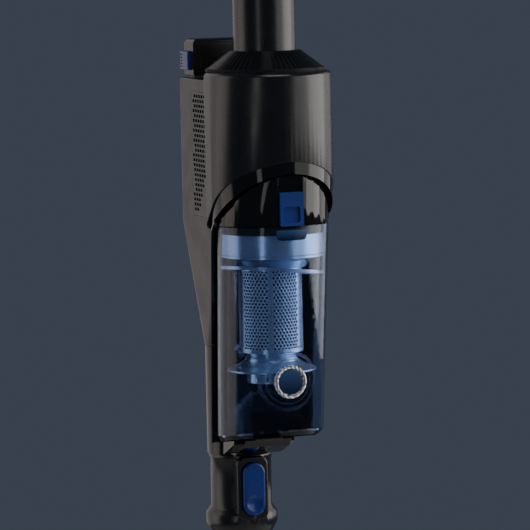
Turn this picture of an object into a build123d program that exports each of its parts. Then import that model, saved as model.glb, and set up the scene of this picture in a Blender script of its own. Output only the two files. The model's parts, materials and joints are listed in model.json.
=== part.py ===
from build123d import *
import math
import os

# A cordless stick vacuum cleaner: handle and tube at the top, motor and battery housing, a tilting
# clear dust cup with a cyclone, a wand, and a motor-driven floor head.
# X runs across, Y from the front (-) to the back (+), Z up. Millimetres.
# The model is drawn with y = 0 on the upper tube's axis and moved to its origin at the end.

# Heights above the floor
TOTAL_H = 1180.0
HANDLE_Z0 = 1008.0
CONE_TOP_Z = 903.6
CONE_Z = 890.0
SHELL_TOP_Z = 887.4
LEDGE_Z = 880.0
FRAME_SPLIT_Z = 810.0
CAP_Z = 765.9
HOUSING_TAPER_Z = 762.0
DUCT_TOP_Z = 660.0
CUP_Z = 604.0
FLOOR_Z = 591.9
DUCT_Z = 570.5
COLLAR_Z = 501.0
ELBOW_TOP_Z = 150.0
ELBOW_Z = 82.0
PIVOT_Z = 45.0

# Main housing
WALL = 2.5
SHELL_WALL = 1.6
SHELL_R = 50.0
SHELL_Y = -8.0
SHELL_BACK_Y = 10.0
TUBE_R = 24.8
HOUSING_HALF = 37.5
HOUSING_BACK_Y = 105.5
HOUSING_CORNER = 5.0
CONE_BASE_R = 46.4
CONE_TIP_R = 28.4
RIB_COUNT = 64
VENT_ROWS = 24
MOTOR_Z = 816.0
SCREW_SPOTS = [(0, 706), (-20, 773), (20, 773)]
WAND_Y = 78.0
DUCT_R = 27.5

# The shell's lower edge seen from the side, as (y, z), and the frame's opening
SHELL_EDGE = [(-58.6, 818.8), (-40, 806), (-24, 795.5), (-9, 782.5), (10, 762)]
FRAME_EDGE = [(-70, 769), (-9.5, 769), (2, 761), (8, 744), (12, 700), (17, 645), (20, 600)]
FRAME_EDGE += [(20, 560), (-70, 560)]
ARCH_HALF = 48.8
ARCH_RISE = 39.2
ARCH_Z = 769.0
FRAME_GAP = 1.3
FRAME_GROW = 3.85
FRAME_Z = 757.0
FRAME_TOP_Z = 830.0

# Dust cup: a tapered, leaning cylinder from CUP_Z to CAP_Z
CUP_TOP_R = 44.9
CUP_LOW_R = 43.2
CUP_TOP_Y = -9.5
CUP_LOW_Y = 5.0
CUP_WALL = 2.2
CAP_R = 44.8
CAP_Y = -9.0
CYCLONE_R = 25.6
CYCLONE_Y = -1.5
EMBLEM_Z = 643.0
PORT_Z = 722.0
BIN_PIVOT_Y = 10.0
HINGE_R = 2.2
HINGE_HALF = 12.0
FLOOR_Y = 5.0
FLOOR_SLOPE = 0.165
SEAM_SLOPE = 0.04
SKIRT_Z = 663.5
FILTER_Z = 766.5
LATCH_HALF = 9.8
LATCH_Z = 767.5
LATCH_TOP_Z = 794.1
CHANNEL_TOP_Z = 799.3

# Handle loop, trigger and boost button
HANDLE_Y = 15.0
HANDLE_DEPTH = 92.0
HANDLE_HALF = 17.0
HANDLE_MID_Z = (HANDLE_Z0 + TOTAL_H) / 2
FINGER_Y = 17.0
FINGER_W = 42.0
FINGER_H = 98.0
TRIGGER_Z = 1128.0
BOOST_Z = 1120.0
BOOST_R = 6.0

# Battery pack and its release buttons
PACK_HALF = 32.9
PACK_FRONT_Y = 77.5
PACK_BACK_Y = 102.5
PACK_Z = 790.0
PACK_TOP_Z = 911.6
PACK_CORNER = 6.0
JACK_R = 2.85
JACK_DEPTH = 10.0
JACK_Z = 893.0

# Wand and its joints
WAND_R = 19.5
WAND_BORE = 17.9
SPIGOT_R = 20.6
SPIGOT_TOP_Z = 612.0
WAND_TOP_Z = 546.0
COLLAR_R = 25.2
FLANGE_R = 29.6
FLANGE_Z = 512.5
BUTTON_Z = 543.4
BUTTON_Y = 44.5
FIT = 0.3
RUN = 0.05

# Floor head
HEAD_W = 250.0
HEAD_FRONT_Y = -70.0
HEAD_BACK_Y = 110.0
BASE_H = 14.0
HEAD_H = 58.0
HEAD_WALL = 3.0
BRUSH_Y = -37.0
BRUSH_Z = 24.0
BRUSH_R = 21.5
BRUSH_CORE_R = 14.0
BRUSH_HALF = 100.0
DRIVE_Y = 12.0
DRIVE_Z = 28.0
BELT_X = -110.0
PULLEY_R = 8.0
PINION_R = 4.0
WHEEL_R = 14.0
WHEEL_X = 100.0
WHEEL_Y = 84.0
ROLLER_R = 6.0
ROLLER_X = 113.0
AXLE_R = 3.0
SLOT_HALF = 33.0

ORIGIN_Y = (HEAD_FRONT_Y + HEAD_BACK_Y) / 2


def box(x0, x1, y0, y1, z0, z1):
    size = abs(x1 - x0), abs(y1 - y0), abs(z1 - z0)
    return Pos((x0 + x1) / 2, (y0 + y1) / 2, (z0 + z1) / 2) * Box(*size)


def rod(radius, z0, z1, y=0.0, x=0.0):
    return Pos(x, y, (z0 + z1) / 2) * Cylinder(radius, z1 - z0)


def pipe(radius, bore, z0, z1, y=0.0, x=0.0):
    return rod(radius, z0, z1, y, x) - rod(bore, z0 - 1, z1 + 1, y, x)


def rod_x(radius, x0, x1, y, z):
    return Pos((x0 + x1) / 2, y, z) * Rot(0, 90, 0) * Cylinder(radius, abs(x1 - x0))


def rod_y(radius, y0, y1, x, z):
    return Pos(x, (y0 + y1) / 2, z) * Rot(90, 0, 0) * Cylinder(radius, y1 - y0)


def turned(points, y=0.0):
    """A solid of revolution about the vertical at y, from (radius, z) points."""
    face = make_face(Plane.XZ * Polyline(*points, close=True))
    return Pos(0, y, 0) * revolve(face, Axis.Z)


def side_block(points, half):
    """An outline of (y, z) points, as thick as 2 x half across the machine."""
    face = make_face(Plane.YZ * Polyline(*points, close=True))
    return extrude(face, half, both=True)


def round_block(width, depth, corner, y, z0, z1):
    return extrude(Pos(0, y, z0) * RectangleRounded(width, depth, corner), z1 - z0)


def pill_y(width, height, y0, y1, z):
    """A slot-shaped block with its long axis vertical, running front to back."""
    face = Plane.XZ.offset(-y1) * Pos(0, z) * RectangleRounded(width, height, width / 2 - 0.01)
    return extrude(face, y1 - y0)


def top_edges(shape):
    return shape.edges().group_by(Axis.Z)[-1]


def cup_y(z):
    return CUP_LOW_Y + (CUP_TOP_Y - CUP_LOW_Y) * (z - CUP_Z) / (CAP_Z - CUP_Z)


def cup_r(z):
    return CUP_LOW_R + (CUP_TOP_R - CUP_LOW_R) * (z - CUP_Z) / (CAP_Z - CUP_Z)


def cup_solid(grow, z0, z1):
    """The cup's outer shape, grown by a distance, between two heights."""
    ends = [Pos(0, cup_y(z), z) * Circle(cup_r(z) + grow) for z in (z0, z1)]
    return loft(ends)


def shell_section(inset, z):
    radius = SHELL_R - inset
    back = SHELL_BACK_Y - inset
    straight = Pos(0, (SHELL_Y + back) / 2) * Rectangle(2 * radius, back - SHELL_Y)
    front = Pos(0, SHELL_Y) * Circle(radius) & Pos(0, back - SHELL_R) * Rectangle(3 * SHELL_R, 2 * SHELL_R)
    section = front + straight
    rear_corners = section.vertices().group_by(Axis.Y)[-1]
    return Pos(0, 0, z) * fillet(rear_corners, 6 - inset)


def shell_edge_block(z_far):
    """Everything on one side of the shell's curved lower edge, out to a height."""
    first, last = SHELL_EDGE[0], SHELL_EDGE[-1]
    curve = Spline(*SHELL_EDGE)
    rest = Polyline(last, (70, last[1]), (70, z_far), (-70, z_far), (-70, first[1]), first)
    return extrude(make_face(Plane.YZ * (curve + rest)), 60, both=True)


def arch_block(half, rise):
    """The opening's arch seen from the front, running the depth of the machine."""
    face = Plane.XZ.offset(-60) * Pos(0, ARCH_Z) * Ellipse(half, rise)
    upper = extrude(face, 140)
    return upper & box(-60, 60, -90, 70, ARCH_Z, ARCH_Z + 60)


# ---------------------------------------------------------------- main housing


FRAME_Y = cup_y(FRAME_Z)
FRAME_BORE = cup_r(FRAME_Z) + FRAME_GAP
FRAME_R = cup_r(FRAME_Z) + FRAME_GROW


def front_shell():
    outer = extrude(shell_section(0, 750), SHELL_TOP_Z - 750)
    outer = fillet(top_edges(outer), 4)
    inner = extrude(shell_section(SHELL_WALL, 740), SHELL_TOP_Z - WALL - 740)
    shell = outer - inner - shell_edge_block(700)
    shell -= box(-HOUSING_HALF, HOUSING_HALF, 0, 12, 740, LEDGE_Z - 6)
    shell -= rod(47.4, 740, FRAME_SPLIT_Z + 4, FRAME_Y)
    return shell - rod(TUBE_R + 0.2, 870, 900)


def spine_frame():
    """Arch and half-pipe cradle around the cup, dust duct, foot and motor bulkhead."""
    wall = pipe(FRAME_R, FRAME_BORE, FRAME_Z, FRAME_TOP_Z, FRAME_Y)
    skin = pipe(60, 47.2, 700, 900, FRAME_Y) & shell_edge_block(900)
    wall -= skin & box(-60, 60, -70, SHELL_BACK_Y + 0.2, 700, 900)
    wall -= box(-60, 60, SHELL_BACK_Y - 3, 60, FRAME_SPLIT_Z + 3, 900)
    cradle = cup_solid(FRAME_GROW, DUCT_Z + 4, FRAME_Z) - cup_solid(FRAME_GAP, DUCT_Z, 760)
    sole = cup_solid(FRAME_GROW, DUCT_Z + 4, FLOOR_Z) & box(-26, 26, 19, 70, 560, 600)
    wall += (cradle - bin_floor_block(-0.8)) + (sole & bin_floor_block(-0.7))
    wall -= side_block(FRAME_EDGE, 60) + side_block([(19, 586), (44, 575), (44, 560), (19, 560)], 60)
    wall -= arch_block(ARCH_HALF, ARCH_RISE) & box(-60, 60, -90, FRAME_Y, 700, 900)
    bulkhead = pipe(46.8, 14, FRAME_SPLIT_Z, FRAME_SPLIT_Z + 2.8, FRAME_Y)
    duct = rod(DUCT_R, DUCT_Z, DUCT_TOP_Z, WAND_Y) + rod(21.5, DUCT_TOP_Z - 1, 745, WAND_Y)
    web = box(-15, 15, 36, 66, 590, 740) - cup_solid(2, 560, 765)
    foot = side_block([(9, 600), (60, 600), (60, DUCT_Z + 3), (36, DUCT_Z + 4), (15, 583), (9, 589.4)], 20)
    foot &= bin_floor_block(-0.7)
    foot += rod_x(HINGE_R, -HINGE_HALF, HINGE_HALF, BIN_PIVOT_Y, floor_z(BIN_PIVOT_Y))
    port = rod_y(13, 34, WAND_Y, 0, PORT_Z)
    frame = wall + bulkhead + duct + web + foot
    frame -= rod(SPIGOT_R + FIT, DUCT_Z - 1, DUCT_Z + 46, WAND_Y)
    frame -= rod(18.5, DUCT_Z + 40, 738, WAND_Y)
    frame -= rod_y(1.45, 85, HOUSING_BACK_Y, *SCREW_SPOTS[0])
    return frame - port


def housing_section(inset):
    depth = HOUSING_BACK_Y - SHELL_BACK_Y - 2 * inset
    mid_y = (HOUSING_BACK_Y + SHELL_BACK_Y) / 2
    outline = RectangleRounded(2 * (HOUSING_HALF - inset), depth, HOUSING_CORNER - inset)
    upper = Pos(0, mid_y, HOUSING_TAPER_Z) * outline
    width = 2 * (DUCT_R - inset)
    lower = Pos(0, WAND_Y, DUCT_TOP_Z + 0.3) * RectangleRounded(width, width, DUCT_R - inset - 0.5)
    return lower, upper


def housing_solid(inset, top_z):
    lower, upper = housing_section(inset)
    return loft([lower, upper]) + extrude(upper, top_z - HOUSING_TAPER_Z)


def pack_block(grow, z0, z1):
    """The battery pack's outline, with round rear corners."""
    depth = PACK_BACK_Y - PACK_FRONT_Y + 2 * grow
    mid_y = (PACK_FRONT_Y + PACK_BACK_Y) / 2
    block = extrude(Pos(0, mid_y, z0) * Rectangle(2 * (PACK_HALF + grow), depth), z1 - z0)
    rear = block.edges().filter_by(Axis.Z).group_by(Axis.Y)[-1]
    return fillet(rear, PACK_CORNER)


def rear_cover():
    outer = housing_solid(0, LEDGE_Z)
    outer = fillet(top_edges(outer), 2.4)
    cover = outer - housing_solid(WALL, LEDGE_Z - WALL)
    cover -= cup_solid(FRAME_GROW + 0.05, 650, 757)
    cover -= rod(FRAME_R + 0.05, 756, FRAME_SPLIT_Z + 3.1, FRAME_Y) + box(-60, 60, -10, 10.3, 700, 890)
    cover -= box(-15.1, 15.1, 30, 66, 650, 741)
    inner_half = HOUSING_HALF - WALL
    cover -= box(-inner_half, inner_half, 0, 20, FRAME_SPLIT_Z - 5, LEDGE_Z - WALL)
    boss = rod(CONE_BASE_R + 1, LEDGE_Z - 2, SHELL_TOP_Z)
    cover += boss & box(-HOUSING_HALF + 2.5, HOUSING_HALF - 2.5, 10.3, 60, 860, 890)
    cover -= rod(TUBE_R + 0.2, 870, 890)
    cover -= pack_block(0.4, PACK_Z - 1, 900)
    for side in (-1, 1):
        cover -= Pos(side * HOUSING_HALF, 50, 819) * Box(12, 45, 101)
    for x, z in SCREW_SPOTS:
        cover -= rod_y(3.2, HOUSING_BACK_Y - 1.8, HOUSING_BACK_Y + 2, x, z)
        cover -= rod_y(1.6, HOUSING_BACK_Y - 6, HOUSING_BACK_Y, x, z)
    return cover


def housing_screws():
    screws = []
    for x, z in SCREW_SPOTS:
        head = rod_y(3, HOUSING_BACK_Y - 1.7, HOUSING_BACK_Y - 0.2, x, z)
        shank = rod_y(1.4, HOUSING_BACK_Y - 9, HOUSING_BACK_Y - 1.5, x, z)
        screws.append(head + shank - rod_y(1, HOUSING_BACK_Y - 0.9, HOUSING_BACK_Y, x, z))
    return Compound(screws)


def vent_grille(side):
    """A side plate with staggered slots in rows that shorten downwards."""
    x = side * (HOUSING_HALF - WALL / 2)
    plate = Pos(x, 50, 819) * Box(WALL, 44.6, 100.6)
    slots = []
    for row in range(VENT_ROWS):
        z = 866 - 4 * row
        start = 30.5 + (2.9 if row % 2 else 0) + max(0, row - 10) * 2.2
        slots += [Pos(x, y, z) * Box(2 * WALL, 4, 2.5) for y in spaced(start, 70, 5.8)]
    return plate - slots


def spaced(start, end, pitch):
    return [start + pitch * i for i in range(int((end - start) / pitch) + 1)]


def shoulder_cone():
    bore = TUBE_R + 0.1
    cone = turned([(bore, CONE_Z), (CONE_BASE_R, CONE_Z), (CONE_TIP_R, CONE_TOP_Z), (bore, CONE_TOP_Z)])
    slope = math.degrees(math.atan2(CONE_TOP_Z - CONE_Z, CONE_BASE_R - CONE_TIP_R))
    mid_r = (CONE_BASE_R + CONE_TIP_R) / 2
    groove = Pos(mid_r, 0, (CONE_Z + CONE_TOP_Z) / 2) * Rot(0, slope, 0) * Box(26, 1.3, 1.4)
    return cone - [Rot(0, 0, 360 / RIB_COUNT * i) * groove for i in range(RIB_COUNT)]


def shoulder_gasket():
    return pipe(CONE_BASE_R + 1.2, TUBE_R + 0.2, SHELL_TOP_Z + 0.02, CONE_Z)


def upper_tube():
    return pipe(TUBE_R, TUBE_R - 2, LEDGE_Z + 4.5, HANDLE_Z0 + 12)


def motor_case():
    can = rod(34, MOTOR_Z, MOTOR_Z + 56, FRAME_Y) - rod(31.5, MOTOR_Z - 1, MOTOR_Z + 52, FRAME_Y)
    spider = rod(9, 838, 844, FRAME_Y) + box(-32, 32, FRAME_Y - 2.5, FRAME_Y + 2.5, 839, 843)
    return can + spider - rod(3 + RUN, 810, 880, FRAME_Y)


def motor_mount():
    return pipe(38, 32.5, FRAME_SPLIT_Z + 3.02, MOTOR_Z - 0.1, FRAME_Y)


def motor_stator():
    return pipe(30, 14.5, 846, 864, FRAME_Y) + pipe(31.4, 29, 850, 860, FRAME_Y)


def motor_rotor():
    return rod(3, 818, 870, FRAME_Y) + rod(13.8, 847, 863, FRAME_Y)


def impeller():
    hub = turned([(3, 822), (27, 822), (27, 824), (14, 827), (8, 836), (3, 836)], FRAME_Y)
    blade = box(7, 26.5, -0.6, 0.6, 823, 833)
    blades = [Pos(0, FRAME_Y, 0) * Rot(0, 0, 40 * i) * Rot(0, 0, 18) * blade for i in range(9)]
    return hub + blades


def exhaust_filter():
    pads = [box(s * 30.2 - 2.6, s * 30.2 + 2.6, 42, 72, 774, 866) for s in (-1, 1)]
    return Compound(pads)


def circuit_board():
    board = box(-24, 24, 64, 65.6, 800, 872)
    for x, z, size in ((-14, 815, 9), (12, 820, 12), (-8, 850, 14), (14, 856, 7)):
        board += box(x - size / 2, x + size / 2, 58, 64.2, z - size / 2, z + size / 2)
    return board


def terminal_block():
    block = box(-18, 18, 78, 95, 777, 787)
    return block + [box(x - 1, x + 1, 86, 87, 786, 788.8) for x in (-12, -4, 4, 12)]


# ---------------------------------------------------------------- handle


def handle_slab(inset, half):
    """The closed-loop grip, thinner all round by the inset."""
    height = TOTAL_H - HANDLE_Z0 - 2 * inset
    outer = Pos(HANDLE_Y, HANDLE_MID_Z) * RectangleRounded(HANDLE_DEPTH - 2 * inset, height, 40 - inset)
    finger_w = FINGER_W + 2 * inset
    hole = Pos(FINGER_Y, HANDLE_MID_Z) * RectangleRounded(finger_w, FINGER_H + 2 * inset, 18 + inset)
    return extrude(Plane.YZ * (outer - hole), half, both=True)


def handle_half(side):
    slab = handle_slab(0, HANDLE_HALF)
    slab = fillet(slab.faces().filter_by(Axis.X).edges(), 7)
    slab -= handle_slab(3, HANDLE_HALF - 3)
    slab -= rod(TUBE_R + 0.05, HANDLE_Z0 - 1, HANDLE_Z0 + 12.1)
    back_y = FINGER_Y + FINGER_W / 2
    slab -= box(-5.5, 5.5, back_y - 5, back_y + 4, TRIGGER_Z - 17, TRIGGER_Z + 12)
    slab -= rod_y(BOOST_R + 0.4, -40, -24, 0, BOOST_Z)
    slab -= box(-8, 8, -40, -26, 1078, 1104)
    grip_y = HANDLE_Y + HANDLE_DEPTH / 2
    slab -= box(-12, 12, grip_y - 1.5, grip_y + 5, HANDLE_MID_Z - 44, HANDLE_MID_Z + 44)
    half = slab & box(0, side * 30, -60, 90, 1000, 1200)
    return half


def grip_pad():
    grip_y = HANDLE_Y + HANDLE_DEPTH / 2
    pad = box(-11.8, 11.8, grip_y - 1.4, grip_y + 1.2, HANDLE_MID_Z - 43.7, HANDLE_MID_Z + 43.7)
    return fillet(pad.faces().sort_by(Axis.Y)[-1].edges(), 1)


def trigger():
    back_y = FINGER_Y + FINGER_W / 2
    blade = box(-5, 5, back_y - 6, back_y + 4, TRIGGER_Z - 10, TRIGGER_Z + 10)
    blade = fillet(blade.edges().filter_by(Axis.X).group_by(Axis.Y)[0], 4)
    return blade + box(-3, 3, back_y + 3, back_y + 8, TRIGGER_Z - 6, TRIGGER_Z + 6)


def boost_button():
    cap = rod_y(BOOST_R, -32.5, -27, 0, BOOST_Z)
    return fillet(cap.faces().sort_by(Axis.Y)[0].edges(), 0.8)


def status_window():
    return box(-7.8, 7.8, -31.4, -28, 1078.2, 1103.8)


# ---------------------------------------------------------------- battery


def battery_case():
    outer = pack_block(0, PACK_Z, SHELL_TOP_Z - 5)
    return outer - pack_block(-2, PACK_Z + 2, SHELL_TOP_Z - 4)


def battery_cells():
    """Round cells lying across the pack, in a column."""
    cells = [rod_x(9, -22, 22, (PACK_FRONT_Y + PACK_BACK_Y) / 2, 803 + 18.3 * i) for i in range(4)]
    return Compound(cells)


def battery_cap():
    cap = pack_block(1.1, SHELL_TOP_Z - 4.9, PACK_TOP_Z)
    cap = fillet(top_edges(cap), 5)
    for side in (-1, 1):
        cap -= box(side * 26, side * 40, PACK_FRONT_Y + 2, PACK_BACK_Y - 1.5, 886.2, 901.8)
    return cap - rod_y(JACK_R, PACK_BACK_Y + 1.1 - JACK_DEPTH, PACK_BACK_Y + 5, 0, JACK_Z)


def battery_button(side):
    """A ribbed finger pad that is pressed into the cap's side."""
    pad = box(side * 30.2, side * 37.6, PACK_FRONT_Y + 3, PACK_BACK_Y - 2.5, 886.6, 901.4)
    outer_face = pad.faces().sort_by(Axis.X)[-1 if side > 0 else 0]
    pad = fillet(outer_face.edges(), 1.2)
    groove = box(side * 37, side * 39, PACK_FRONT_Y + 5, PACK_BACK_Y - 4.5, 0, 1.1)
    return pad - [Pos(0, 0, z) * groove for z in spaced(888.6, 899, 2.4)]


# ---------------------------------------------------------------- dust bin


def floor_z(y):
    return FLOOR_Z - FLOOR_SLOPE * (y - FLOOR_Y)


def bin_floor_block(lift):
    """Everything below the cup's slanting floor."""
    points = [(-60, floor_z(-60) + lift), (60, floor_z(60) + lift), (60, 540), (-60, 540)]
    return side_block(points, 60)


def seam_z(y):
    return CAP_Z - SEAM_SLOPE * (y - CAP_Y)


def above_seam(lift):
    """Everything above the slanting seam between cup and cap."""
    points = [(-70, seam_z(-70) + lift), (70, seam_z(70) + lift), (70, 840), (-70, 840)]
    return side_block(points, 70)


def bin_cup():
    outer = cup_solid(0, 565, CAP_Z + 6) - bin_floor_block(0)
    low_rim = outer.faces().sort_by(Axis.Z)[0].edges()
    outer = chamfer(low_rim, 4.2)
    inner = cup_solid(-CUP_WALL, 560, CAP_Z + 7) - bin_floor_block(3)
    tab = extrude(Plane.XZ.offset(48) * Pos(0, CAP_Z) * RectangleRounded(25.6, 20, 4), 10)
    tab &= cup_solid(1.0, 730, CAP_Z + 6)
    lug = box(-HINGE_HALF - 3, HINGE_HALF + 3, BIN_PIVOT_Y - 5, BIN_PIVOT_Y + 5, 585, FLOOR_Z + 4)
    cup = outer + tab - inner + (lug - bin_floor_block(0))
    cup -= above_seam(-0.6) + rod_y(12, 20, 60, 0, PORT_Z)
    return cup - rod_x(HINGE_R + RUN, -HINGE_HALF - 0.4, HINGE_HALF + 0.4, BIN_PIVOT_Y, floor_z(BIN_PIVOT_Y))


def cap_solid(inset, lift):
    body = rod(CAP_R - inset, 750, 815, CAP_Y) & above_seam(lift)
    lower = box(-60, 60, -70, 60, 745, ARCH_Z)
    return body & (lower + arch_block(ARCH_HALF - 1.2 - inset, ARCH_RISE - 1.3 - inset))


def bin_cap():
    cap = cap_solid(0, 0) - cap_solid(2.4, -1)
    surround = box(-LATCH_HALF - 3.2, LATCH_HALF + 3.2, -60, -45, CAP_Z, CHANNEL_TOP_Z + 2.2)
    cap += surround & cap_solid(0.3, 0)
    cap -= box(-LATCH_HALF - 0.5, LATCH_HALF + 0.5, -70, -49.4, CAP_Z - 1, CHANNEL_TOP_Z)
    cap -= box(-LATCH_HALF - 0.5, LATCH_HALF + 0.5, -70, -52.4, CHANNEL_TOP_Z - 0.1, 830)
    outlet = rod(10, 790, 830, 4)
    return cap - outlet


def bin_seal():
    return pipe(41.9, 39.5, CAP_Z - 6, CAP_Z - 0.02, CUP_TOP_Y)


def bin_latch():
    """Slider with a square thumb recess."""
    slider = box(-LATCH_HALF, LATCH_HALF, -55.4, -49.9, LATCH_Z, LATCH_TOP_Z)
    slider = fillet(slider.edges().filter_by(Axis.Y), 1.2)
    thumb = box(-6.8, 6.8, -60, -53.2, LATCH_Z + 2.4, LATCH_Z + 15)
    thumb = fillet(thumb.edges().filter_by(Axis.Y), 2)
    return slider - thumb


def premotor_filter():
    """A pleated ring under the cap."""
    pleats = [Rot(0, 0, 15 * i) * box(24, 35.5, -1.6, 1.6, FILTER_Z, FILTER_Z + 10) for i in range(24)]
    ring = pipe(30, 20, FILTER_Z, FILTER_Z + 10)
    return Pos(0, CAP_Y + 4, 0) * (ring + pleats)


def cyclone_head():
    """Dish that carries the screen and closes the cup below the filter."""
    outline = [(15, 744), (39.4, 744), (39.4, 759.5), (41.2, 759.5), (41.2, 741)]
    outline += [(30, 738), (27, 732.1), (15, 732.1)]
    return turned(outline, cup_y(750)) & cup_solid(-CUP_WALL - 0.2, 730, 760)


def cyclone_screen():
    return pipe(CYCLONE_R, CYCLONE_R - 1.2, SKIRT_Z + 0.1, 732, CYCLONE_Y)


def cyclone_skirt():
    """Flared skirt under the screen and its slotted core."""
    drops = [(16, 0), (24, 0), (19.5, 2.7), (22, 7.2), (28, 11.2), (35.5, 13.7), (35.5, 14.9), (16, 14.9)]
    flare = turned([(radius, SKIRT_Z - drop) for radius, drop in drops], CYCLONE_Y)
    core = pipe(20, 17.5, SKIRT_Z - 24.7, SKIRT_Z - 13.7, CYCLONE_Y)
    slot = box(15, 22, -0.7, 0.7, SKIRT_Z - 23.2, SKIRT_Z - 15.7)
    slots = [Pos(0, CYCLONE_Y, 0) * Rot(0, 0, 30 * i) * slot for i in range(12)]
    return flare + core - slots


def inlet_ramp():
    """A sloping quarter turn that starts the air spinning."""
    ring = cup_solid(-3.2, 712, 738) - rod(CYCLONE_R + 1, 700, 750, CYCLONE_Y)
    slope = side_block([(-50, 736), (50, 723), (50, 720.5), (-50, 733.5)], 60)
    ramp = ring & (Pos(0, CYCLONE_Y, 0) * Rot(0, 0, -50) * slope)
    return ramp - box(-60, 60, 12, 60, 700, 740) - cyclone_head()


def emblem_ring():
    ring = rod_y(13.6, -45.5, -38, 0, EMBLEM_Z) - rod_y(10.4, -50, -30, 0, EMBLEM_Z)
    return ring - cup_solid(0.02, 600, 680)


def emblem_disc():
    disc = rod_y(10.2, -44.3, -38, 0, EMBLEM_Z)
    disc = fillet(disc.faces().sort_by(Axis.Y)[0].edges(), 1.2)
    return disc - cup_solid(0.02, 600, 680)


# ---------------------------------------------------------------- wand


def wand_collar():
    """Upper end of the wand, with the spigot that enters the duct."""
    lip_z = DUCT_Z - FIT
    outline = [(17, COLLAR_Z), (23.8, COLLAR_Z), (FLANGE_R, FLANGE_Z), (FLANGE_R, FLANGE_Z + 8.3)]
    outline += [(COLLAR_R, FLANGE_Z + 14), (COLLAR_R, lip_z - 4), (COLLAR_R + 0.9, lip_z - 3)]
    outline += [(COLLAR_R + 0.9, lip_z), (SPIGOT_R, lip_z), (SPIGOT_R, SPIGOT_TOP_Z)]
    outline += [(18, SPIGOT_TOP_Z), (17, SPIGOT_TOP_Z - 25)]
    collar = turned(outline, WAND_Y)
    boss = extrude(Plane.XZ.offset(-64) * Pos(0, BUTTON_Z) * RectangleRounded(26.6, 53, 7), 15.5)
    boss = fillet(boss.faces().sort_by(Axis.Y)[0].edges(), 1.5)
    collar += boss - rod(24, COLLAR_Z, SPIGOT_TOP_Z, WAND_Y)
    collar -= pill_y(19.3, 44.7, 40, 56, BUTTON_Z)
    return collar - rod(WAND_R + RUN, COLLAR_Z - 1, WAND_TOP_Z + 1, WAND_Y)


def wand_release_button():
    """Pill button with a round finger dimple."""
    pill = pill_y(18.6, 44, BUTTON_Y, BUTTON_Y + 8.1, BUTTON_Z)
    pill = fillet(pill.faces().sort_by(Axis.Y)[0].edges(), 1.5)
    dimple = Pos(0, BUTTON_Y - 17.5, BUTTON_Z - 11.6) * Sphere(18.8)
    return pill - dimple


def wand_tube():
    return pipe(WAND_R, WAND_BORE, ELBOW_Z + 26, WAND_TOP_Z, WAND_Y)


def power_wire():
    """Flat two-core lead that the wand holds along its inner wall."""
    return box(-3, 3, WAND_Y + 14.9, WAND_Y + 16.5, 112, SPIGOT_TOP_Z - 27)


# ---------------------------------------------------------------- neck and floor head


def neck_elbow():
    """Turning socket above the pivot that takes the wand."""
    outline = [(17 + RUN, ELBOW_Z), (23.5, ELBOW_Z), (24.5, 92), (24.5, 142), (26, 145), (26, ELBOW_TOP_Z)]
    outline += [(WAND_R + FIT, ELBOW_TOP_Z), (WAND_R + FIT, ELBOW_Z + 25.7), (17 + RUN, ELBOW_Z + 22)]
    elbow = turned(outline, WAND_Y)
    boss = box(-11, 11, 50, 62, 104, 142)
    boss = fillet(boss.edges().filter_by(Axis.Z).group_by(Axis.Y)[0], 4)
    elbow += boss - rod(22, 90, 150, WAND_Y)
    return elbow - pill_y(12.8, 28.8, 45, 56.2, 123)


def head_release_button():
    pill = pill_y(12, 28, 47, 53.3, 123)
    return fillet(pill.faces().sort_by(Axis.Y)[0].edges(), 1.5)


def neck_yoke():
    """Hinge barrel with its pins, and the stem that the elbow turns on."""
    barrel = rod_x(21, -SLOT_HALF + 1, SLOT_HALF - 1, WAND_Y, PIVOT_Z)
    pins = rod_x(6, -SLOT_HALF - 7, SLOT_HALF + 7, WAND_Y, PIVOT_Z)
    stem = rod(23, PIVOT_Z, ELBOW_Z - 0.4, WAND_Y) + rod(17, PIVOT_Z, ELBOW_Z + 20, WAND_Y)
    yoke = barrel + pins + stem
    yoke -= rod(13.5, PIVOT_Z - 4, ELBOW_Z + 30, WAND_Y)
    return yoke - rod_y(13, 50, WAND_Y, 0, PIVOT_Z)


def head_block(inset, z0, z1):
    depth = HEAD_BACK_Y - HEAD_FRONT_Y - 2 * inset
    mid_y = (HEAD_BACK_Y + HEAD_FRONT_Y) / 2
    return round_block(HEAD_W - 2 * inset, depth, 30 - inset, mid_y, z0, z1)


def wheel_pocket(side):
    return box(side * (WHEEL_X - 7), side * (WHEEL_X + 7), WHEEL_Y - 16, WHEEL_Y + 16, -1, 31)


def head_base():
    base = head_block(1.5, 0, BASE_H) - head_block(5, HEAD_WALL, BASE_H + 1)
    for side in (-1, 1):
        base += box(side * 101, side * 106, BRUSH_Y - 14, BRUSH_Y + 14, 2, 36)
        base += box(side * 90, side * 92.5, WHEEL_Y - 12, WHEEL_Y + 12, 2, 24)
        base += box(side * 107.5, side * 110, WHEEL_Y - 12, WHEEL_Y + 12, 2, 24)
        base += box(side * (SLOT_HALF + 1), side * (SLOT_HALF + 8), WAND_Y - 14, WAND_Y + 14, 2, 54)
    base -= box(-99, 99, -62, -12, -1, 12) + box(-96, 96, -11.52, -9.48, -1, HEAD_WALL + 1)
    for side in (-1, 1):
        base -= box(side * 105, side * 121, BRUSH_Y - 8, BRUSH_Y + 8, -1, 16)
        base -= wheel_pocket(side) & box(-125, 125, 0, 110, -1, 12)
    base -= rod_x(AXLE_R + RUN, -107, 107, BRUSH_Y, BRUSH_Z)
    base -= rod_x(6 + RUN, -SLOT_HALF - 12, SLOT_HALF + 12, WAND_Y, PIVOT_Z)
    base -= box(-SLOT_HALF, SLOT_HALF, WAND_Y - 23, 112, 8, 80)
    base -= rod_x(23, -SLOT_HALF, SLOT_HALF, WAND_Y, PIVOT_Z)
    return base + axle_pins()


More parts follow.
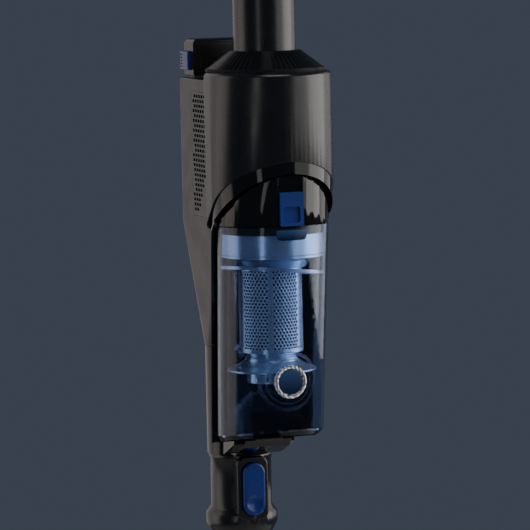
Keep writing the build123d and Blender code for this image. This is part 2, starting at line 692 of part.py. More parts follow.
def axle_pins():
    pins = []
    for side in (-1, 1):
        pins.append(rod_x(AXLE_R - RUN, side * 91, side * 109, WHEEL_Y, WHEEL_R))
        pins.append(rod_x(1.5, side * 104, side * 122, BRUSH_Y, ROLLER_R))
    return pins


def head_cover():
    outer = head_block(0, BASE_H + 0.02, HEAD_H)
    outer = fillet(top_edges(outer), 22)
    inner = head_block(HEAD_WALL, BASE_H - 1, HEAD_H - HEAD_WALL)
    inner = fillet(top_edges(inner), 19)
    cover = outer - inner
    cover -= box(-SLOT_HALF, SLOT_HALF, WAND_Y - 24, 115, 10, 80)
    cover -= box(-90, 90, -60, -20, 50, 60)
    for side in (-1, 1):
        cheek = round_block(9, 52, 4, WAND_Y, BASE_H + 20, HEAD_H + 6)
        cheek = Pos(side * (SLOT_HALF + 4.5), 0, 0) * cheek
        cover += cheek - box(-SLOT_HALF - 0.8, SLOT_HALF + 0.8, 0, 120, 0, 80)
    cover -= box(-SLOT_HALF - 8.3, SLOT_HALF + 8.3, WAND_Y - 14.3, WAND_Y + 14.3, 10, 54.3)
    return cover - rod_x(6.4, -SLOT_HALF - 8, SLOT_HALF + 8, WAND_Y, PIVOT_Z)


def head_window():
    """Clear panel over the brush."""
    panel = box(-89.7, 89.7, -59.7, -20.3, HEAD_H - HEAD_WALL + 0.05, HEAD_H - 0.1)
    outer = fillet(top_edges(head_block(0, BASE_H, HEAD_H)), 22)
    return panel & outer


def head_bumper():
    """Rubber strip round the front and sides."""
    strip = head_block(0, 5, BASE_H) - head_block(1.48, 0, BASE_H + 5)
    return strip - box(-130, 130, 40, 120, 0, 30)


def head_squeegee():
    return box(-96, 96, -11.5, -9.5, 0.4, HEAD_WALL + 4) - box(-97, 97, -11, -9, 2.9, 3)


def roller_core():
    core = rod_x(BRUSH_CORE_R, -BRUSH_HALF + 0.6, BRUSH_HALF - 0.6, BRUSH_Y, BRUSH_Z)
    axle = rod_x(AXLE_R, -112, 105, BRUSH_Y, BRUSH_Z)
    return core + axle + rod_x(PULLEY_R, -112, -108, BRUSH_Y, BRUSH_Z)


def roller_bristles():
    """Six rows of bristles on the roller."""
    row = box(-97, 97, -1.2, 1.2, BRUSH_CORE_R + 0.02, BRUSH_R)
    rows = [Pos(0, BRUSH_Y, BRUSH_Z) * Rot(60 * i, 0, 0) * row for i in range(6)]
    return Compound(rows)


def brush_motor():
    can = rod_x(15, -88, -32, DRIVE_Y, DRIVE_Z) - rod_x(12, -86, -34, DRIVE_Y, DRIVE_Z)
    feet = box(-84, -36, DRIVE_Y - 12, DRIVE_Y + 12, HEAD_WALL + 0.02, 20)
    feet -= rod_x(14.9, -90, -30, DRIVE_Y, DRIVE_Z)
    return can + feet - rod_x(2 + RUN, -92, -30, DRIVE_Y, DRIVE_Z)


def brush_motor_rotor():
    shaft = rod_x(2, -112, -30, DRIVE_Y, DRIVE_Z) + rod_x(11, -84, -36, DRIVE_Y, DRIVE_Z)
    return shaft + rod_x(PINION_R, -112, -108, DRIVE_Y, DRIVE_Z)


def belt_loop(grow, half_width):
    """Two circles and the band between them, as one flat solid."""
    pulley = (BRUSH_Y, BRUSH_Z, PULLEY_R + grow)
    pinion = (DRIVE_Y, DRIVE_Z, PINION_R + grow)
    circles = [Pos(y, z) * Circle(r) for y, z, r in (pulley, pinion)]
    face = make_hull((circles[0] + circles[1]).edges())
    return Pos(BELT_X, 0, 0) * extrude(Plane.YZ * face, half_width, both=True)


def drive_belt():
    return belt_loop(1.6, 1.8) - belt_loop(0.35, 5)


def rear_wheel(side):
    wheel = rod_x(WHEEL_R, side * (WHEEL_X - 6), side * (WHEEL_X + 6), WHEEL_Y, WHEEL_R)
    wheel = fillet(wheel.edges(), 1.5)
    return wheel - rod_x(AXLE_R, side * (WHEEL_X - 10), side * (WHEEL_X + 10), WHEEL_Y, WHEEL_R)


def front_roller(side):
    roller = rod_x(ROLLER_R, side * (ROLLER_X - 6), side * (ROLLER_X + 6), BRUSH_Y, ROLLER_R)
    return roller - rod_x(1.55, side * (ROLLER_X - 13), side * (ROLLER_X + 12), BRUSH_Y, ROLLER_R)


NODES = {
    "front_shell": front_shell,
    "spine_frame": spine_frame,
    "rear_cover": rear_cover,
    "housing_screws": housing_screws,
    "vent_grille_left": lambda: vent_grille(-1),
    "vent_grille_right": lambda: vent_grille(1),
    "shoulder_cone": shoulder_cone,
    "shoulder_gasket": shoulder_gasket,
    "upper_tube": upper_tube,
    "motor_case": motor_case,
    "motor_mount": motor_mount,
    "motor_stator": motor_stator,
    "motor_rotor": motor_rotor,
    "impeller": impeller,
    "exhaust_filter": exhaust_filter,
    "circuit_board": circuit_board,
    "terminal_block": terminal_block,
    "handle_shell_left": lambda: handle_half(-1),
    "handle_shell_right": lambda: handle_half(1),
    "grip_pad": grip_pad,
    "trigger": trigger,
    "boost_button": boost_button,
    "status_window": status_window,
    "battery_case": battery_case,
    "battery_cells": battery_cells,
    "battery_cap": battery_cap,
    "battery_button_left": lambda: battery_button(-1),
    "battery_button_right": lambda: battery_button(1),
    "bin_cup": bin_cup,
    "bin_cap": bin_cap,
    "bin_seal": bin_seal,
    "bin_latch": bin_latch,
    "premotor_filter": premotor_filter,
    "cyclone_head": cyclone_head,
    "cyclone_screen": cyclone_screen,
    "cyclone_skirt": cyclone_skirt,
    "inlet_ramp": inlet_ramp,
    "emblem_ring": emblem_ring,
    "emblem_disc": emblem_disc,
    "wand_collar": wand_collar,
    "wand_release_button": wand_release_button,
    "wand_tube": wand_tube,
    "power_wire": power_wire,
    "neck_elbow": neck_elbow,
    "head_release_button": head_release_button,
    "neck_yoke": neck_yoke,
    "head_base": head_base,
    "head_cover": head_cover,
    "head_window": head_window,
    "head_bumper": head_bumper,
    "head_squeegee": head_squeegee,
    "roller_core": roller_core,
    "roller_bristles": roller_bristles,
    "brush_motor": brush_motor,
    "brush_motor_rotor": brush_motor_rotor,
    "drive_belt": drive_belt,
    "rear_wheel_left": lambda: rear_wheel(-1),
    "rear_wheel_right": lambda: rear_wheel(1),
    "front_roller_left": lambda: front_roller(-1),
    "front_roller_right": lambda: front_roller(1),
}

os.makedirs("parts", exist_ok=True)
for name, make in NODES.items():
    export_step(Pos(0, -ORIGIN_Y, 0) * make(), f"parts/{name}.step")
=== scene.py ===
import bpy
import bmesh
import json
import math
import random
from mathutils import Matrix, Vector


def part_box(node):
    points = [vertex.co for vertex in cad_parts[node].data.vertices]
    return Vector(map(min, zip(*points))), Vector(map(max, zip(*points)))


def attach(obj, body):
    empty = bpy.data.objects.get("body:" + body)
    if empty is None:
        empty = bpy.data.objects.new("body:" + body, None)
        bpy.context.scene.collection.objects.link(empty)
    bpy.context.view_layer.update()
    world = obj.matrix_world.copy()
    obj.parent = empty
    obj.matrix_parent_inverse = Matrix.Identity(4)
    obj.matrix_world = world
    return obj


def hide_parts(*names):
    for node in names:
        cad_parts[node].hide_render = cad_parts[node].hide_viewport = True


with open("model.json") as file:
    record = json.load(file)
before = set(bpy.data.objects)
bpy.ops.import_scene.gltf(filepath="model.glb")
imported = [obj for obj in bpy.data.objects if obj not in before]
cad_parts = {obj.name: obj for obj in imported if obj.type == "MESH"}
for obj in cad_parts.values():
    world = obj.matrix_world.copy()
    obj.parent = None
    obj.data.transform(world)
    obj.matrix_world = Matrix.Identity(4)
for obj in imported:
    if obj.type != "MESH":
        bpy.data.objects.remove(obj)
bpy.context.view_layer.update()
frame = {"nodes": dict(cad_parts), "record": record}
record = frame["record"]
random.seed(7)

MM = 0.001


def box_mid(node):
    low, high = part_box(node)
    return (Vector(low) + Vector(high)) / 2


# ---------------------------------------------------------------- materials


class Graph:
    """A material's node tree, with one Principled shader and short ways to add to it."""

    def __init__(self, name):
        self.material = bpy.data.materials.new(name)
        self.material.use_nodes = True
        self.tree = self.material.node_tree
        self.shader = self.tree.nodes["Principled BSDF"]
        self.output = self.tree.nodes["Material Output"]
        self.place = self.add("ShaderNodeTexCoord").outputs["Object"]
        self.height = None

    def add(self, kind, **settings):
        node = self.tree.nodes.new(kind)
        for key, value in settings.items():
            setattr(node, key, value)
        return node

    def link(self, start, end):
        self.tree.links.new(start, end)

    def stretched(self, scale):
        node = self.add("ShaderNodeMapping")
        node.inputs["Scale"].default_value = scale
        self.link(self.place, node.inputs["Vector"])
        return node.outputs["Vector"]

    def noise(self, scale, detail=3.0, stretch=None):
        node = self.add("ShaderNodeTexNoise")
        node.inputs["Scale"].default_value = scale
        node.inputs["Detail"].default_value = detail
        self.link(self.stretched(stretch) if stretch else self.place, node.inputs["Vector"])
        return node.outputs["Fac"]

    def ramp(self, factor, low, high, start=0.35, end=0.65):
        node = self.add("ShaderNodeMapRange")
        node.inputs["From Min"].default_value = start
        node.inputs["From Max"].default_value = end
        node.inputs["To Min"].default_value = low
        node.inputs["To Max"].default_value = high
        self.link(factor, node.inputs["Value"])
        return node.outputs["Result"]

    def blend(self, factor, first, second, start=0.35, end=0.65):
        node = self.add("ShaderNodeMix", data_type="RGBA")
        node.inputs["A"].default_value = (*first, 1)
        node.inputs["B"].default_value = (*second, 1)
        self.link(self.ramp(factor, 0, 1, start, end), node.inputs["Factor"])
        return node.outputs["Result"]

    def bump(self, height, strength, distance):
        node = self.add("ShaderNodeBump")
        node.inputs["Strength"].default_value = strength
        node.inputs["Distance"].default_value = distance
        self.link(height, node.inputs["Height"])
        if self.height:
            self.link(self.height, node.inputs["Normal"])
        self.height = node.outputs["Normal"]
        self.link(self.height, self.shader.inputs["Normal"])

    def set(self, **values):
        for key, value in values.items():
            self.shader.inputs[key.replace("_", " ")].default_value = value


def shade(color, factor):
    return tuple(min(1.0, c * factor) for c in color)


def moulded(name, color, rough=(0.3, 0.4), grain=2600, grain_depth=0.05, coat=0.0, metallic=0.0,
            specular=0.5):
    """Moulded plastic: slow tone drift, hand-polished patches and a fine texture."""
    g = Graph(name)
    g.set(Metallic=metallic, Coat_Weight=coat, Coat_Roughness=0.04, Specular_IOR_Level=specular)
    g.link(g.blend(g.noise(14), shade(color, 0.86), shade(color, 1.16)), g.shader.inputs["Base Color"])
    g.link(g.ramp(g.noise(38, 5), *rough), g.shader.inputs["Roughness"])
    g.bump(g.noise(grain, 2), grain_depth, 0.0002)
    return g.material


def gloss_plastic(name, color, rough=(0.07, 0.16), coat=0.2):
    """Polished plastic: slight orange peel, faint smears and hair-fine wiping marks."""
    g = Graph(name)
    g.set(Coat_Weight=coat, Coat_Roughness=0.03, IOR=1.5)
    g.link(g.blend(g.noise(9), shade(color, 0.85), shade(color, 1.2)), g.shader.inputs["Base Color"])
    g.link(g.ramp(g.noise(45, 6), *rough), g.shader.inputs["Roughness"])
    g.bump(g.noise(160, 1), 0.012, 0.001)
    g.bump(g.noise(900, 2, stretch=(1, 1, 0.06)), 0.02, 0.0001)
    return g.material


def rubber(name, color, rough=(0.6, 0.8)):
    g = Graph(name)
    g.set(Specular_IOR_Level=0.3)
    g.link(g.blend(g.noise(60, 5), shade(color, 0.8), shade(color, 1.35)), g.shader.inputs["Base Color"])
    g.link(g.ramp(g.noise(90, 4), *rough), g.shader.inputs["Roughness"])
    g.bump(g.noise(1900, 3), 0.25, 0.0002)
    return g.material


def metal(name, color, rough=(0.12, 0.28), stretch=(1, 1, 0.05)):
    """Turned or drawn metal with fine lines along one direction."""
    g = Graph(name)
    g.set(Metallic=1.0)
    g.link(g.blend(g.noise(25), shade(color, 0.9), shade(color, 1.05)), g.shader.inputs["Base Color"])
    g.link(g.ramp(g.noise(500, 4, stretch=stretch), *rough), g.shader.inputs["Roughness"])
    g.bump(g.noise(1400, 2, stretch=stretch), 0.06, 0.0001)
    return g.material


def blue_with_painted_top_light(name):
    """Deep blue gloss with painted light: it grows lighter towards the top of the piece, as if lit from
    above.
    """
    g = Graph(name)
    g.set(Coat_Weight=0.4, Coat_Roughness=0.04)
    parts = g.add("ShaderNodeSeparateXYZ")
    g.link(g.add("ShaderNodeTexCoord").outputs["Generated"], parts.inputs["Vector"])
    # painted light: each piece is dark blue at the bottom and lighter blue at the top
    tone = g.blend(parts.outputs["Z"], (0.006, 0.014, 0.075), (0.05, 0.12, 0.27), 0.1, 0.95)
    g.link(tone, g.shader.inputs["Base Color"])
    g.link(g.ramp(g.noise(45, 6), 0.1, 0.2), g.shader.inputs["Roughness"])
    g.bump(g.noise(160, 1), 0.012, 0.001)
    return g.material


def clear_plastic(name, color, rough, ior, pass_color):
    """Clear moulding that lets light through to what is inside it."""
    g = Graph(name)
    g.set(Transmission_Weight=1.0, IOR=ior)
    g.link(g.blend(g.noise(11), shade(color, 0.94), shade(color, 1.05)), g.shader.inputs["Base Color"])
    g.link(g.ramp(g.noise(60, 5), *rough), g.shader.inputs["Roughness"])
    g.bump(g.noise(70, 1), 0.01, 0.001)
    through = g.add("ShaderNodeBsdfTransparent")
    through.inputs["Color"].default_value = (*pass_color, 1)
    mix = g.add("ShaderNodeMixShader")
    path = g.add("ShaderNodeLightPath")
    g.link(path.outputs["Is Shadow Ray"], mix.inputs["Fac"])
    g.link(g.shader.outputs["BSDF"], mix.inputs[1])
    g.link(through.outputs["BSDF"], mix.inputs[2])
    g.link(mix.outputs["Shader"], g.output.inputs["Surface"])
    return g.material


def fibre(name, color, scale=1500, stretch=(1, 1, 1)):
    g = Graph(name)
    g.set(Sheen_Weight=0.3, Roughness=0.85)
    tone = g.blend(g.noise(scale * 0.2, 6, stretch), shade(color, 0.7), shade(color, 1.2))
    g.link(tone, g.shader.inputs["Base Color"])
    g.bump(g.noise(scale, 5, stretch), 0.5, 0.0004)
    return g.material


def printed_board(name):
    """Green solder mask with darker tracks."""
    g = Graph(name)
    brick = g.add("ShaderNodeTexBrick")
    brick.inputs["Scale"].default_value = 160
    brick.inputs["Color1"].default_value = (0.01, 0.12, 0.05, 1)
    brick.inputs["Color2"].default_value = (0.015, 0.17, 0.07, 1)
    brick.inputs["Mortar"].default_value = (0.04, 0.26, 0.12, 1)
    g.link(g.stretched((1, 1, 1)), brick.inputs["Vector"])
    g.link(brick.outputs["Color"], g.shader.inputs["Base Color"])
    g.link(g.ramp(g.noise(120), 0.25, 0.45), g.shader.inputs["Roughness"])
    return g.material


BLACK = (0.0050, 0.0048, 0.0050)
BLUE = (0.022, 0.050, 0.30)
STEEL_BLUE = (0.62, 0.74, 0.86)
LOOKS = {
    "shell_gloss_black": gloss_plastic("shell_gloss_black", BLACK, (0.05, 0.10)),
    "shell_satin_black": moulded("shell_satin_black", BLACK, (0.24, 0.30), grain_depth=0.02, specular=0.85),
    "housing_satin_black": moulded("housing_satin_black", (0.007, 0.0066, 0.0062), (0.24, 0.34)),
    "rib_black": moulded("rib_black", (0.007, 0.007, 0.008), (0.2, 0.3)),
    "wand_metal": gloss_plastic("wand_metal", (0.009, 0.009, 0.010), (0.12, 0.22)),
    "button_blue": moulded("button_blue", BLUE, (0.2, 0.32), grain=3200, coat=0.3),
    "cup_tint": clear_plastic("cup_tint", (0.60, 0.70, 0.92), (0.015, 0.05), 1.36, (0.80, 0.86, 0.98)),
    "clear_window": clear_plastic("clear_window", (0.9, 0.93, 0.97), (0.02, 0.05), 1.3, (0.9, 0.93, 0.97)),
    "cyclone_silver": moulded("cyclone_silver", STEEL_BLUE, (0.17, 0.27), metallic=0.85, coat=0.1),
    "emblem_chrome": metal("emblem_chrome", (0.86, 0.87, 0.89), (0.05, 0.16)),
    # emblem_blue carries painted light: lighter towards the top of each piece
    "emblem_blue": blue_with_painted_top_light("emblem_blue"),
    "soft_rubber": rubber("soft_rubber", (0.018, 0.018, 0.019)),
    "filter_foam": fibre("filter_foam", (0.62, 0.62, 0.58)),
    "motor_metal": metal("motor_metal", (0.52, 0.52, 0.54), (0.2, 0.4)),
    "motor_plastic": moulded("motor_plastic", (0.05, 0.05, 0.055), (0.4, 0.55)),
    "board_green": printed_board("board_green"),
    "cell_wrap": gloss_plastic("cell_wrap", (0.05, 0.22, 0.16), (0.2, 0.35)),
    "head_plastic": moulded("head_plastic", (0.016, 0.016, 0.018), (0.35, 0.5), grain_depth=0.12),
    "roller_core": moulded("roller_core", (0.03, 0.05, 0.2), (0.3, 0.45)),
    "bristle": fibre("bristle", (0.03, 0.06, 0.3), 2500),
}


def dress_cad_nodes():
    for part in record["subparts"]:
        node = frame["nodes"][part["node"]]
        node.data.materials.clear()
        node.data.materials.append(LOOKS[part["material_slot"]])


def soften_edges(names, width):
    """Rounds the moulded edges of CAD nodes, as an injection mould does."""
    for name in names:
        node = frame["nodes"][name]
        weld = node.modifiers.new("weld", "WELD")
        weld.merge_threshold = 0.01 * MM
        bevel = node.modifiers.new("edge", "BEVEL")
        bevel.width = width
        bevel.segments = 2
        bevel.limit_method = "ANGLE"
        bevel.angle_limit = math.radians(50)
        bevel.use_clamp_overlap = True
        bevel.harden_normals = True


# ---------------------------------------------------------------- meshes


def piece(name, bm, body, slot, smooth=True, replaces=None):
    bmesh.ops.recalc_face_normals(bm, faces=bm.faces)
    mesh = bpy.data.meshes.new(name)
    bm.to_mesh(mesh)
    bm.free()
    obj = bpy.data.objects.new(name, mesh)
    bpy.context.scene.collection.objects.link(obj)
    for face in mesh.polygons:
        face.use_smooth = smooth
    mesh.materials.append(LOOKS[slot])
    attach(obj, body)
    if replaces:
        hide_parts(replaces)
    return obj


def sweep(bm, path, radius, sides, closed):
    """A round tube along points, with its own frame carried from point to point."""
    count = len(path)
    rings = []
    side = Vector((0, 0, 1))
    for i, point in enumerate(path):
        after = path[(i + 1) % count] if closed or i < count - 1 else point
        before = path[i - 1] if closed or i > 0 else point
        along = (after - before).normalized()
        side = (side - along * side.dot(along)).normalized()
        other = along.cross(side)
        ring = []
        for k in range(sides):
            turn = 2 * math.pi * k / sides
            ring.append(bm.verts.new(point + (side * math.cos(turn) + other * math.sin(turn)) * radius))
        rings.append(ring)
    for i in range(count if closed else count - 1):
        join_rings(bm, rings[i], rings[(i + 1) % count])
    if not closed:
        bm.faces.new(rings[0])
        bm.faces.new(rings[-1])


def join_rings(bm, first, second):
    sides = len(first)
    offset = min(range(sides), key=lambda k: (first[0].co - second[k].co).length)
    for k in range(sides):
        a, b = first[k], first[(k + 1) % sides]
        c, d = second[(k + 1 + offset) % sides], second[(k + offset) % sides]
        bm.faces.new((a, b, c, d))


# The cup is a leaning cone; these give its outer surface from its CAD box.

CUP_LOW, CUP_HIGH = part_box("bin_cup")
CUP_R_TOP, CUP_R_LOW = 44.9 * MM, 43.2 * MM
CUP_Z_TOP, CUP_Z_LOW = CUP_HIGH[2] - 1.2 * MM, CUP_HIGH[2] - 163.1 * MM
CUP_Y_TOP, CUP_Y_LOW = -29.5 * MM, -15.0 * MM


def cup_mix(z):
    return (z - CUP_Z_LOW) / (CUP_Z_TOP - CUP_Z_LOW)


def on_cup(turn, z, lift):
    """A point on the cup's wall: turn 0 is the front, positive towards +X."""
    mix = cup_mix(z)
    radius = CUP_R_LOW + (CUP_R_TOP - CUP_R_LOW) * mix + lift
    mid_y = CUP_Y_LOW + (CUP_Y_TOP - CUP_Y_LOW) * mix
    return Vector((radius * math.sin(turn), mid_y - radius * math.cos(turn), z))


def perforated_screen():
    """Thin wall of hexagonal cells, each with a round hole, and plain strips between the panels."""
    low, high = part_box("cyclone_screen")
    mid = box_mid("cyclone_screen")
    radius = (high[0] - low[0]) / 2
    columns, sides = 54, 12
    panels, strip_start, strip_share = 6, 0.42, 0.17
    low_rim, high_rim, wall_depth = 2.4 * MM, 1.0 * MM, 0.9 * MM
    cell_w = 2 * math.pi / columns * radius
    row_h = cell_w * math.sqrt(3) / 2
    z0 = low[2] + low_rim
    rows = int((high[2] - z0 - high_rim) / row_h)
    hexagon = [cell_w / 2 if k % 2 else cell_w / math.sqrt(3) for k in range(sides)]
    hole = [cell_w * 0.335] * sides
    bm = bmesh.new()

    def spot(u, z):
        turn = u / radius
        return Vector((mid.x + radius * math.sin(turn), mid.y - radius * math.cos(turn), z))

    def cell_loop(u, z, reaches):
        loop = []
        for k, reach in enumerate(reaches):
            angle = math.radians(90 + 360 / sides * k)
            loop.append(bm.verts.new(spot(u + reach * math.cos(angle), z + reach * math.sin(angle))))
        return loop

    for row in range(rows):
        for column in range(columns):
            u = (column + (0.5 if row % 2 else 0)) * cell_w
            z = z0 + (row + 0.5) * row_h
            outer = cell_loop(u, z, hexagon)
            if (u / (2 * math.pi * radius) * panels + strip_start) % 1 < strip_share:
                bm.faces.new(outer)
                continue
            inner = cell_loop(u, z, hole)
            for k in range(sides):
                after = (k + 1) % sides
                bm.faces.new((outer[k], outer[after], inner[after], inner[k]))
    bmesh.ops.remove_doubles(bm, verts=bm.verts, dist=0.05 * MM)
    screen = piece("cyclone_screen_mesh", bm, "bin", "cyclone_silver", replaces="cyclone_screen")
    wall = screen.modifiers.new("wall", "SOLIDIFY")
    wall.thickness = wall_depth
    wall.offset = -1
    ends = bmesh.new()
    for z_low, z_high in ((low[2], z0 + row_h * 0.4), (z0 + (rows - 0.4) * row_h, high[2])):
        ring_band(ends, mid, radius + 0.25 * MM, radius - 1.1 * MM, z_low, z_high)
    piece("cyclone_screen_rims", ends, "bin", "cyclone_silver", smooth=False)
    # painted shade: a black sleeve just inside the screen makes its holes look dark, where the inside is
    # only in shade
    sleeve = bmesh.new()
    ring_band(sleeve, mid, radius - 1.7 * MM, radius - 2.4 * MM, low[2] + 0.5 * MM, high[2] - 0.5 * MM)
    piece("cyclone_painted_shade_sleeve", sleeve, "bin", "rib_black")


def ring_band(bm, mid, outer_r, inner_r, z_low, z_high, sides=96):
    """A closed ring of rectangular section."""
    loops = []
    for radius, z in ((outer_r, z_low), (outer_r, z_high), (inner_r, z_high), (inner_r, z_low)):
        loop = []
        for k in range(sides):
            turn = 2 * math.pi * k / sides
            loop.append(bm.verts.new((mid.x + radius * math.cos(turn), mid.y + radius * math.sin(turn), z)))
        loops.append(loop)
    for i in range(4):
        first, second = loops[i], loops[(i + 1) % 4]
        for k in range(sides):
            after = (k + 1) % sides
            bm.faces.new((first[k], first[after], second[after], second[k]))


def rope_ring():
    """Chrome ring of three twisted strands round the emblem."""
    low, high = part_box("emblem_ring")
    mid = box_mid("emblem_ring")
    ring_r = (high[0] - low[0]) / 2 - 1.75 * MM
    front = low[1] + 1.7 * MM
    bm = bmesh.new()
    strands, twists, steps = 3, 6, 216
    for strand in range(strands):
        path = []
        for i in range(steps):
            turn = 2 * math.pi * i / steps
            twist = twists * turn + 2 * math.pi * strand / strands
            reach = ring_r + 1.0 * MM * math.cos(twist)
            depth = front + 0.85 * MM * math.sin(twist)
            path.append(Vector((mid.x + reach * math.cos(turn), depth, mid.z + reach * math.sin(turn))))
        sweep(bm, path, 0.8 * MM, 10, closed=True)
    piece("emblem_rope_ring", bm, "bin", "emblem_chrome", replaces="emblem_ring")
    seat = bmesh.new()
    path = [on_ring(mid, ring_r, i, 96) for i in range(96)]
    sweep(seat, path, 1.5 * MM, 8, closed=True)
    piece("emblem_seat", seat, "bin", "emblem_blue")


def on_ring(mid, radius, index, steps, lift=0.0):
    """A point of a circle seen from the front, laid on the cup's wall."""
    turn = 2 * math.pi * index / steps
    x = mid.x + radius * math.cos(turn)
    z = mid.z + radius * math.sin(turn)
    return on_cup(math.asin(max(-1, min(1, x / CUP_R_LOW))), z, lift)


def cup_mouldings():
    """Fine raised lines on the cup: circles round the emblem, a ring line and a slanting line."""
    mid = box_mid("emblem_ring")
    around, across, line_r, lift = 144, 60, 0.22 * MM, 0.02 * MM
    ring_drop, slant_drop, slant_rise, slant_reach = 24 * MM, 36.5 * MM, 6.5 * MM, 1.5
    bm = bmesh.new()
    for radius in (18.0, 22.0, 23.6):
        path = [on_ring(mid, radius * MM, i, 120, lift) for i in range(120)]
        sweep(bm, path, 0.28 * MM, 6, closed=True)
    path = [on_cup(2 * math.pi * i / around, CUP_HIGH[2] - ring_drop, lift) for i in range(around)]
    sweep(bm, path, line_r, 6, closed=True)
    path = []
    for i in range(across + 1):
        turn = slant_reach * (2 * i / across - 1)
        path.append(on_cup(turn, CUP_HIGH[2] - slant_drop - slant_rise * math.sin(turn), lift))
    sweep(bm, path, line_r, 6, closed=False)
    piece("bin_cup_lines", bm, "bin", "cup_tint")


def cup_tab():
    """Dark blue thumb tab on the cup under the latch: a thin plate with round lower corners."""
    half_w, height, corner = 12.4 * MM, 8.2 * MM, 4.0 * MM
    top = CUP_Z_TOP - 1.6 * MM
    columns = 24
    bm = bmesh.new()
    loops = []
    for lift in (1.03 * MM, 1.3 * MM):
        upper, lower = [], []
        for i in range(columns + 1):
            x = half_w * (2 * i / columns - 1)
            past = max(0.0, abs(x) - (half_w - corner))
            low = top - height + corner - math.sqrt(corner ** 2 - past ** 2)
            turn = math.asin(x / CUP_R_TOP)
            upper.append(bm.verts.new(on_cup(turn, top, lift)))
            lower.append(bm.verts.new(on_cup(turn, low, lift)))
        for i in range(columns):
            bm.faces.new((upper[i], upper[i + 1], lower[i + 1], lower[i]))
        loops.append(upper + lower[::-1])
    back, front = loops
    for i in range(len(back)):
        after = (i + 1) % len(back)
        bm.faces.new((back[i], back[after], front[after], front[i]))
    piece("bin_cup_tab", bm, "bin", "emblem_blue", smooth=False)


def on_roller(mid, x, radius, turn):
    return Vector((x, mid.y + radius * math.cos(turn), mid.z + radius * math.sin(turn)))


def roller_tufts():
    """Bristle tufts in screw-shaped rows on the roller."""
    low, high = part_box("roller_bristles")
    mid = box_mid("roller_bristles")
    root_r = 14.0 * MM
    tip_r = (high[2] - low[2]) / 2 - 0.3 * MM
    length = high[0] - low[0]
    rows, spots, strands = 6, 64, 4
    screw, spread, strand_gap = 1.6 * math.pi, 0.16, 0.7 * MM
    bm = bmesh.new()
    for row in range(rows):
        for i in range(spots):
            x = low[0] + length * (i + 0.5) / spots
            lead = 2 * math.pi * row / rows + screw * i / spots
            for strand in range(strands):
                wobble = (random.random() - 0.5) * spread
                root_x = x + (strand - (strands - 1) / 2) * strand_gap
                root = on_roller(mid, root_x, root_r, lead)
                tip = on_roller(mid, root_x + wobble * 6 * MM, tip_r, lead + wobble)
                sweep(bm, [root, root.lerp(tip, 0.5), tip], 0.32 * MM, 4, closed=False)
    piece("roller_tufts", bm, "brush_roller", "bristle", replaces="roller_bristles")


# ---------------------------------------------------------------- stage, lights and camera

VIEW_AZIMUTH = math.radians(-20)
VIEW_HEIGHT = math.radians(5.8)
VIEW_ROLL = math.radians(-1.2)
VIEW_DISTANCE = 2.6
BACKDROP = (0.047, 0.059, 0.081)
FLOOR_R = 0.9
LENS = 220.8


def camera_way(azimuth, height):
    """Unit vector from the object to where it is looked at from."""
    flat = math.cos(height)
    return Vector((math.sin(azimuth) * flat, -math.cos(azimuth) * flat, math.sin(height)))


def aim(obj, target, roll=0.0):
    obj.rotation_mode = "QUATERNION"
    turn = (target - obj.location).to_track_quat("-Z", "Y")
    obj.rotation_quaternion = turn @ Matrix.Rotation(roll, 3, "Z").to_quaternion()


def add_camera(target):
    camera = bpy.data.objects.new("camera", bpy.data.cameras.new("camera"))
    camera.data.lens = LENS
    camera.data.sensor_width = 36
    camera.data.clip_end = 50
    camera.location = target + camera_way(VIEW_AZIMUTH, VIEW_HEIGHT) * VIEW_DISTANCE
    bpy.context.scene.collection.objects.link(camera)
    aim(camera, target, VIEW_ROLL)
    bpy.context.scene.camera = camera


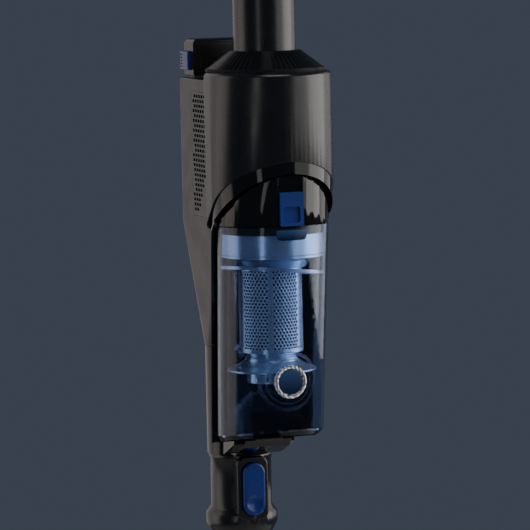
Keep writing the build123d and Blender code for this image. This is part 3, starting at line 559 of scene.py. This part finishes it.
# Name, turn from the view direction and height in degrees, distance, size, brightness, colour
SOFTBOXES = [
    ("left_near", -92, 6, 1.6, (0.92, 2.4), 0.4, (1.0, 0.91, 0.84)),
    ("left_wide", -122, 6, 1.7, (3.1, 2.4), 0.5, (1.0, 0.91, 0.84)),
    ("right_near", 96, 10, 1.6, (1.3, 1.4), 1.9, (1.0, 0.95, 0.91)),
    ("right_wide", 112, 10, 1.6, (2.2, 1.4), 0.8, (1.0, 0.95, 0.91)),
    ("right_front", 60, 9, 1.7, (0.9, 1.4), 0.9, (1.0, 0.97, 0.94)),
    ("front_strip", -21, 4, 1.9, (0.28, 1.3), 1.0, (1.0, 0.98, 0.96)),
    ("top", 20, 62, 1.6, (0.9, 0.7), 2.0, (1, 1, 1)),
]


def add_softbox(name, target, side, height, distance, size, glow, color):
    """A panel light of even brightness."""
    data = bpy.data.lights.new(name, "AREA")
    data.shape = "RECTANGLE"
    data.size, data.size_y = size
    data.energy = glow * math.pi * size[0] * size[1]
    data.color = color
    light = bpy.data.objects.new(name, data)
    way = camera_way(VIEW_AZIMUTH + math.radians(side), math.radians(height))
    light.location = target + way * distance
    light.visible_camera = False
    bpy.context.scene.collection.objects.link(light)
    aim(light, target)


def add_world():
    world = bpy.data.worlds.new("studio")
    bpy.context.scene.world = world
    world.use_nodes = True
    tree = world.node_tree
    shade_node = tree.nodes["Background"]
    shade_node.inputs["Color"].default_value = (*BACKDROP, 1)
    shade_node.inputs["Strength"].default_value = 1.0


def add_floor():
    bm = bmesh.new()
    bmesh.ops.create_circle(bm, cap_ends=True, segments=128, radius=FLOOR_R)
    mesh = bpy.data.meshes.new("floor")
    bm.to_mesh(mesh)
    bm.free()
    floor = bpy.data.objects.new("floor", mesh)
    bpy.context.scene.collection.objects.link(floor)
    g = Graph("floor_paint")
    g.link(g.blend(g.noise(3), (0.52, 0.53, 0.55), (0.58, 0.59, 0.61)), g.shader.inputs["Base Color"])
    g.set(Roughness=0.7)
    mesh.materials.append(g.material)


TARGET = Vector((-3.0 * MM, -18.9 * MM, 732.0 * MM))

dress_cad_nodes()
soften_edges(["front_shell", "bin_latch", "wand_collar", "trigger", "bin_cap"], 0.35 * MM)
perforated_screen()
rope_ring()
cup_mouldings()
cup_tab()
roller_tufts()
add_floor()
add_world()
for name, side, height, distance, size, glow, color in SOFTBOXES:
    add_softbox(name, TARGET, side, height, distance, size, glow, color)
add_camera(TARGET)
